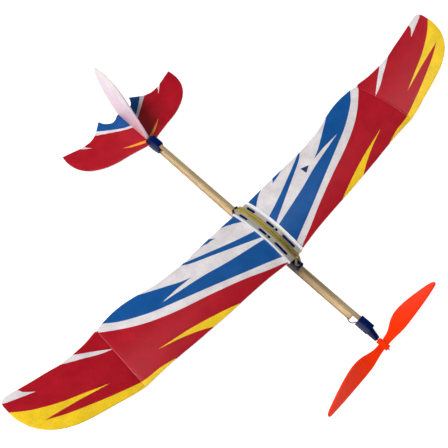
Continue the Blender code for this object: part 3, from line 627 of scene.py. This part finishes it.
def new_piece(name, bm, materials, body, smooth_angle=None):
    """A finished mesh as a piece, riding on a CAD body when one is given."""
    mesh = bpy.data.meshes.new(name)
    bm.to_mesh(mesh)
    bm.free()
    for material in materials:
        mesh.materials.append(MATERIALS[material])
    mesh.polygons.foreach_set("use_smooth", [True] * len(mesh.polygons))
    if smooth_angle is not None:
        mesh.set_sharp_from_angle(angle=math.radians(smooth_angle))
    piece = bpy.data.objects.new(name, mesh)
    bpy.context.scene.collection.objects.link(piece)
    if body is not None:
        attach(piece, body)
    return piece


def filler_points(inner, lines):
    """A staggered grid of points inside an outline, clear of it and of the printed lines."""
    low = [min(p[i] for p in inner) for i in (0, 1)]
    high = [max(p[i] for p in inner) for i in (0, 1)]
    grid = np.array([
        (low[0] + FOAM_PITCH * (i + 0.5 * (j % 2)), low[1] + FOAM_PITCH * FOAM_ROW * j)
        for i in range(int((high[0] - low[0]) / FOAM_PITCH) + 2)
        for j in range(int((high[1] - low[1]) / FOAM_PITCH / FOAM_ROW) + 2)
    ])
    grid = grid[inside(grid, inner)]
    clear = distance_to(grid, [inner + inner[:1]] + lines) > FOAM_PITCH * FOAM_CLEARANCE
    return [Vector(p) for p in grid[clear]]


def printed_faces(inner, prints, inks):
    """A printed sheet's flat points, and its triangles as (corners, ink number)."""
    points = []
    regions = []
    for shape in [inner] + [anticlockwise(shape) for _, shape in prints]:
        regions.append(list(range(len(points), len(points) + len(shape))))
        points.extend(shape)
    points.extend(filler_points(inner, [shape + shape[:1] for _, shape in prints]))
    flat, _, faces, _, _, owners = delaunay_2d_cdt(points, [], regions, 0, MERGE_DISTANCE)
    colours = [0] + [inks.index(ink) for ink, _ in prints]
    faces = [(face, colours[max(owner)]) for face, owner in zip(faces, owners) if 0 in owner]
    used = sorted({i for face, _ in faces for i in face})
    number = {old: new for new, old in enumerate(used)}
    return [flat[i] for i in used], [([number[i] for i in face], ink) for face, ink in faces]


def foam_sheet(name, node, axes, thickness, prints, base, body, under="foam"):
    """A foam sheet with rounded edges whose upper face is cut into its printed colours."""
    outline, height = sheet_shape(node, axes)
    inner = [p - n * FOAM_EDGE_RADIUS for p, n in zip(outline, outward(outline))]
    inks = [base] + sorted({ink for ink, _ in prints})
    flat, faces = printed_faces(inner, prints, inks)
    directed = {(face[k], face[(k + 1) % 3]): ink for face, ink in faces for k in range(3)}
    rim_ink = {edge: ink for edge, ink in directed.items() if edge[::-1] not in directed}
    rim = max(chained(rim_ink.keys()), key=len)
    normals = outward([flat[i] for i in rim])

    bm = bmesh.new()

    def put(point, drop):
        """A vertex a drop below the sheet's upper face."""
        co = [0.0, 0.0, 0.0]
        co[axes[0]], co[axes[1]] = point
        co[axes[2]] = float(height(point[0], point[1])) - drop
        return bm.verts.new(co)

    top = [put(point, 0.0) for point in flat]
    bottom = [put(point, thickness) for point in flat]
    for face, ink in faces:
        bm.faces.new([top[i] for i in face]).material_index = int(ink)
        bm.faces.new([bottom[i] for i in reversed(face)]).material_index = len(inks)
    angles = [math.pi / 2 * (k + 1) / FOAM_EDGE_STEPS for k in range(FOAM_EDGE_STEPS)]
    profile = [(math.sin(a) * FOAM_EDGE_RADIUS, (1 - math.cos(a)) * FOAM_EDGE_RADIUS) for a in angles]
    profile += [(reach, thickness - drop) for reach, drop in reversed(profile)]
    rings = [[top[i] for i in rim]]
    for reach, drop in profile:
        rings.append([put(flat[i] + normal * reach, drop) for i, normal in zip(rim, normals)])
    rings.append([bottom[i] for i in rim])
    for k, (upper, lower) in enumerate(zip(rings, rings[1:])):
        for i in range(len(rim)):
            j = (i + 1) % len(rim)
            face = bm.faces.new([upper[j], upper[i], lower[i], lower[j]])
            ink = rim_ink[(rim[i], rim[j])]
            face.material_index = int(ink) if k < FOAM_EDGE_STEPS else len(inks)
    bmesh.ops.recalc_face_normals(bm, faces=bm.faces)
    piece = new_piece(name, bm, inks + [under], body)
    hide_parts(node)
    return height


def build_wing():
    """Both wing panels and tips with their print, and the folds between them."""
    for side, sign in (("left", 1), ("right", -1)):
        prints = [(ink, closed_shape(runs, sign)) for ink, runs in WING_PRINT]
        if sign > 0:
            prints.append(("mark", closed_shape(WING_MARK, sign)))
        panel = "wing_panel_" + side
        height = foam_sheet("printed_" + panel, panel, FLAT, WING_FOAM, prints, "red", "wing")
        tip = "wing_tip_" + side
        foam_sheet("printed_" + tip, tip, FLAT, WING_FOAM, prints, "red", side + "_tip")
        build_crease(side, sign, height)


def build_crease(side, sign, height):
    """Pressed foam left in the groove of the fold, between the panel and its tip."""
    panel_low, panel_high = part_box("wing_panel_" + side)
    tip_low, tip_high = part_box("wing_tip_" + side)
    ends = (panel_high.x, tip_low.x) if sign > 0 else (panel_low.x, tip_high.x)
    middle = sum(ends) / 2
    outline, _ = sheet_shape("wing_tip_" + side, FLAT)
    edge_ys = [p.y for p in outline if abs(p.x - ends[1]) < CREASE_EDGE_WITHIN]
    y0 = min(edge_ys) + FOAM_EDGE_RADIUS
    y1 = max(edge_ys) - FOAM_EDGE_RADIUS
    bm = bmesh.new()
    columns = (-CREASE_HALF_WIDTH, 0.0, CREASE_HALF_WIDTH)
    grids = []
    for drop in (CREASE_DEPTH, CREASE_DEPTH + CREASE_FOAM):
        rows = []
        for k in range(CREASE_CUTS + 1):
            y = y0 + (y1 - y0) * k / CREASE_CUTS
            z = float(height(middle, y)) - drop
            rows.append([bm.verts.new((middle + x, y, z)) for x in columns])
        grids.append(rows)
    upper, lower = grids
    for k in range(CREASE_CUTS):
        for i in range(len(columns) - 1):
            face = bm.faces.new([upper[k][i], upper[k][i + 1], upper[k + 1][i + 1], upper[k + 1][i]])
            face.material_index = 1 if upper[k][i].co.y < DATUM_Y + CREASE_YELLOW_TO else 0
            bm.faces.new([lower[k][i], lower[k + 1][i], lower[k + 1][i + 1], lower[k][i + 1]])
        for i in (0, len(columns) - 1):
            bm.faces.new([upper[k][i], upper[k + 1][i], lower[k + 1][i], lower[k][i]])
    for k in (0, CREASE_CUTS):
        for i in range(len(columns) - 1):
            bm.faces.new([upper[k][i], lower[k][i], lower[k][i + 1], upper[k][i + 1]])
    bmesh.ops.recalc_face_normals(bm, faces=bm.faces)
    strip = new_piece("crease_" + side, bm, ["crease", "crease_yellow"], None, 50)
    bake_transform(strip)


def build_tail():
    """The printed stabiliser and the plain fin."""
    prints = [(ink, closed_shape(runs, sign)) for sign in (1, -1) for ink, runs in STABILISER_PRINT]
    foam_sheet("printed_stabiliser", "stabiliser", FLAT, TAIL_FOAM, prints, "red", "airframe")
    foam_sheet("foam_fin", "fin", UPRIGHT, TAIL_FOAM, [], "fin", "airframe", "fin")


def joint_place(name):
    """Where a joint sits at rest."""
    return Vector(next(joint for joint in frame["joints"] if joint["name"] == name)["pos_m"])


def build_rubber_motor():
    """One looped flat strip between the tail peg and the turning hook."""
    axle = joint_place("propeller_spin")
    peg_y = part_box("rubber_motor")[1].y - STRIP_PEG_RADIUS - STRIP_THICKNESS / 2
    hook_low, hook_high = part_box("rubber_motor_front_loop")
    hook_y = hook_low.y + STRIP_HOOK_RADIUS + STRIP_THICKNESS / 2
    hook_x = (hook_low.x + hook_high.x) / 2
    path = []
    for turn in (1, -1):
        for k in range(STRIP_RUN_CUTS):
            t = k / STRIP_RUN_CUTS if turn > 0 else 1 - k / STRIP_RUN_CUTS
            spread_here = STRIP_HOOK_RADIUS + (STRIP_PEG_RADIUS - STRIP_HOOK_RADIUS) * t
            sag = STRIP_SAG * 4 * t * (1 - t)
            ripple = STRIP_RIPPLE * math.sin(t * STRIP_RIPPLE_RATE + turn) * math.sin(math.pi * t)
            path.append((hook_y + (peg_y - hook_y) * t, turn * spread_here - sag + ripple, t))
        centre, radius = (peg_y, STRIP_PEG_RADIUS) if turn > 0 else (hook_y, STRIP_HOOK_RADIUS)
        for k in range(STRIP_TURN_CUTS):
            angle = math.pi * (k + 0.5) / STRIP_TURN_CUTS
            past, up = turn * radius * math.sin(angle), turn * radius * math.cos(angle)
            path.append((centre + past, up, 1.0 if turn > 0 else 0.0))
    half_width, half_thick = STRIP_WIDTH / 2, STRIP_THICKNESS / 2
    section = []
    for sx, sy in ((1, 1), (-1, 1), (-1, -1), (1, -1)):
        corner = STRIP_CORNER if sx * sy > 0 else STRIP_CORNER[::-1]
        section.extend((sx * a * half_width, sy * b * half_thick) for a, b in corner)
    # The strip's narrow sides get the darker rubber, which is painted shade.
    shaded_side = []
    for here, after in zip(section, section[1:] + section[:1]):
        shaded_side.append(abs(here[0] + after[0]) > STRIP_SHADED_SIDE_SHARE * half_width)
    bm = bmesh.new()
    rings = []
    for i, (y, z, t) in enumerate(path):
        before, after = path[i - 1], path[(i + 1) % len(path)]
        tangent = Vector((after[0] - before[0], after[1] - before[1])).normalized()
        normal = Vector((-tangent.y, tangent.x))
        x = hook_x * (1 - t)
        rings.append([
            bm.verts.new((x + across, y + normal.x * up, axle.z + z + normal.y * up))
            for across, up in section
        ])
    for ring, following in zip(rings, rings[1:] + rings[:1]):
        for k in range(len(section)):
            j = (k + 1) % len(section)
            bm.faces.new([ring[k], ring[j], following[j], following[k]]).material_index = int(shaded_side[k])
    bmesh.ops.recalc_face_normals(bm, faces=bm.faces)
    strip = new_piece("rubber_motor_strip", bm, ["latex", "latex_painted_shade"], None, 60)
    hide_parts("rubber_motor", "rubber_motor_front_loop")
    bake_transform(strip)


def restyled(node, name, material, body, bevel):
    """A copy of a CAD node with its flat faces whole again and its hard edges rounded."""
    bm = bmesh.new()
    bm.from_mesh(frame["nodes"][node].data)
    bmesh.ops.remove_doubles(bm, verts=bm.verts, dist=NODE_WELD)
    bmesh.ops.dissolve_limit(
        bm, angle_limit=FLAT_ANGLE, verts=bm.verts, edges=bm.edges, use_dissolve_boundaries=False
    )
    piece = new_piece(name, bm, [material], body)
    rounding = piece.modifiers.new("rounding", "BEVEL")
    rounding.width = bevel
    rounding.segments = 2
    rounding.limit_method = "ANGLE"
    rounding.angle_limit = SHARP_ANGLE
    rounding.harden_normals = True
    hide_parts(node)


def finish_cad_node(node, material):
    """Give a CAD node its material and leave its shape as it is."""
    for slot in frame["nodes"][node].material_slots:
        slot.link = "OBJECT"
        slot.material = MATERIALS[material]


def build_hardware():
    """Stick, mouldings, band, shaft and propeller, all from their CAD nodes."""
    restyled("fuselage_stick", "wooden_stick", "wood", "airframe", 0.25 * MM)
    restyled("nose_bracket", "nose_moulding", "navy", "airframe", 0.2 * MM)
    restyled("tail_bracket", "tail_moulding", "navy", "airframe", 0.2 * MM)
    restyled("wing_saddle", "saddle_moulding", "navy", "wing", 0.15 * MM)
    restyled("wing_clamp_plate", "plate_moulding", "milky", "wing", 0.2 * MM)
    finish_cad_node("wing_retaining_band", "olive")
    swelling = frame["nodes"]["wing_retaining_band"].modifiers.new("swelling", "DISPLACE")
    swelling.mid_level = 0.0
    swelling.strength = BAND_SWELLING
    finish_cad_node("propeller_shaft", "steel")
    finish_cad_node("propeller", "orange")


def build_floor():
    """A plain pale floor under the aircraft's lowest point, lit evenly so that it stays white."""
    material = new_material("floor", 0.9)
    dark, light = ((level, level, level, 1.0) for level in (FLOOR_DARK, FLOOR_LIGHT))
    tone = mixed(material, noise(material, place_on(material), 30.0), dark, light)
    shader = material.node_tree.nodes["Principled BSDF"]
    material.node_tree.links.new(tone, shader.inputs["Base Color"])
    shader.inputs["Emission Color"].default_value = (1.0, 1.0, 1.0, 1.0)
    shader.inputs["Emission Strength"].default_value = FLOOR_GLOW
    bm = bmesh.new()
    bmesh.ops.create_grid(bm, x_segments=1, y_segments=1, size=FLOOR_REACH)
    mesh = bpy.data.meshes.new("floor")
    bm.to_mesh(mesh)
    bm.free()
    mesh.materials.append(material)
    floor = bpy.data.objects.new("floor", mesh)
    floor.location.z = CAD_BOX[0].z - FLOOR_GAP
    bpy.context.scene.collection.objects.link(floor)


add_camera()
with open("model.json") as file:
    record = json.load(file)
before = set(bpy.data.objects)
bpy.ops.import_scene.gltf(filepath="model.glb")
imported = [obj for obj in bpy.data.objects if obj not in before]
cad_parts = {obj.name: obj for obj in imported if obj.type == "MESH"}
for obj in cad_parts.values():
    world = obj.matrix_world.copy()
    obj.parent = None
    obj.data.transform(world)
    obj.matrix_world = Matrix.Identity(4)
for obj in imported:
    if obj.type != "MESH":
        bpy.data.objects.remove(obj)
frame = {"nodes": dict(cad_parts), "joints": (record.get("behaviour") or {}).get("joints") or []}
CAD_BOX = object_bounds()
MATERIALS = make_materials()
light_scene()
build_wing()
build_tail()
build_rubber_motor()
build_hardware()
build_floor()
